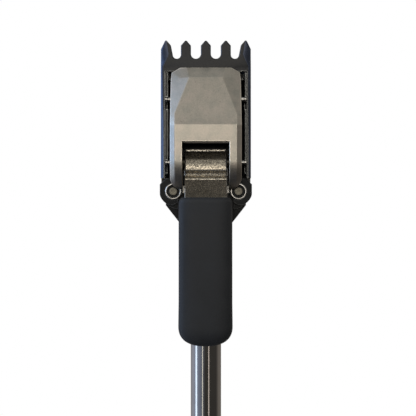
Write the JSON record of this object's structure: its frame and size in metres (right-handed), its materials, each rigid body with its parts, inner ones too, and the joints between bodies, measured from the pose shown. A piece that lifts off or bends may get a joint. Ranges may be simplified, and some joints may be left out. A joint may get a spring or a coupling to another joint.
{
  "type": "reacher grabber",
  "caption": "Hand-held gripping pole: comb-topped head with a sliding clamp jaw worked by a fold-out cam lever, on a round chromed tube with a ribbed rear grip.",
  "frame": {"origin": "centre of the pole's rear end face, on the tube's axis", "axes": "+Z along the pole towards the comb, -Y towards the lever's side, +X to the right when the lever faces the viewer"},
  "size_m": [0.0556, 0.0475, 0.46],
  "materials": {
    "black_coat": "semi-gloss black powder coat",
    "black_nylon": "fine moulded nylon",
    "satin_cast": "bead-blasted satin casting",
    "nickel_cast": "rough nickel-plated casting",
    "black_rubber": "smooth matte rubber",
    "chrome_tube": "polished chrome",
    "bright_steel": "bright turned steel"
  },
  "bodies": {
    "frame": {"comb_frame": "black_coat", "back_plate": "black_coat", "pole_socket": "black_nylon", "end_plug": "black_nylon", "rear_grip": "black_rubber", "tube": "chrome_tube", "tube_pin": "bright_steel", "lug_eyelet_left": "bright_steel", "lug_eyelet_right": "bright_steel", "lug_screw_left": "bright_steel", "lug_screw_right": "bright_steel", "return_spring_left": "bright_steel", "return_spring_right": "bright_steel", "spring_rod_left": "bright_steel", "spring_rod_right": "bright_steel", "cam_anvil": "bright_steel", "anvil_screw_left": "bright_steel", "anvil_screw_right": "bright_steel", "plate_screw_1": "bright_steel", "plate_screw_2": "bright_steel", "plate_screw_3": "bright_steel", "plate_screw_4": "bright_steel"},
    "jaw": {"clamp_jaw": "satin_cast", "jaw_pad": "black_rubber", "guide_pin": "bright_steel", "pivot_pin": "bright_steel", "guide_bush_upper_left": "bright_steel", "guide_bush_upper_right": "bright_steel", "guide_bush_lower_left": "bright_steel", "guide_bush_lower_right": "bright_steel", "pivot_spacer_left": "bright_steel", "pivot_spacer_right": "bright_steel"},
    "lever": {"lever": "nickel_cast", "lever_grip": "black_rubber"}
  },
  "joints": [
    {"name": "jaw_slide", "type": "slide", "parent": "frame", "child": "jaw", "axis": [0, 0, -1], "range_m": [0, 0.005], "deforming": ["return_spring_left", "return_spring_right"]},
    {"name": "lever_pivot", "type": "hinge", "parent": "jaw", "child": "lever", "pos_m": [0, -0.0135, 0.3866], "axis": [-1, 0, 0], "range_deg": [0, 90]}
  ],
  "couplings": [
    {"joint": "jaw_slide", "follows": "lever_pivot", "m_per_rad": 0.003183}
  ]
}
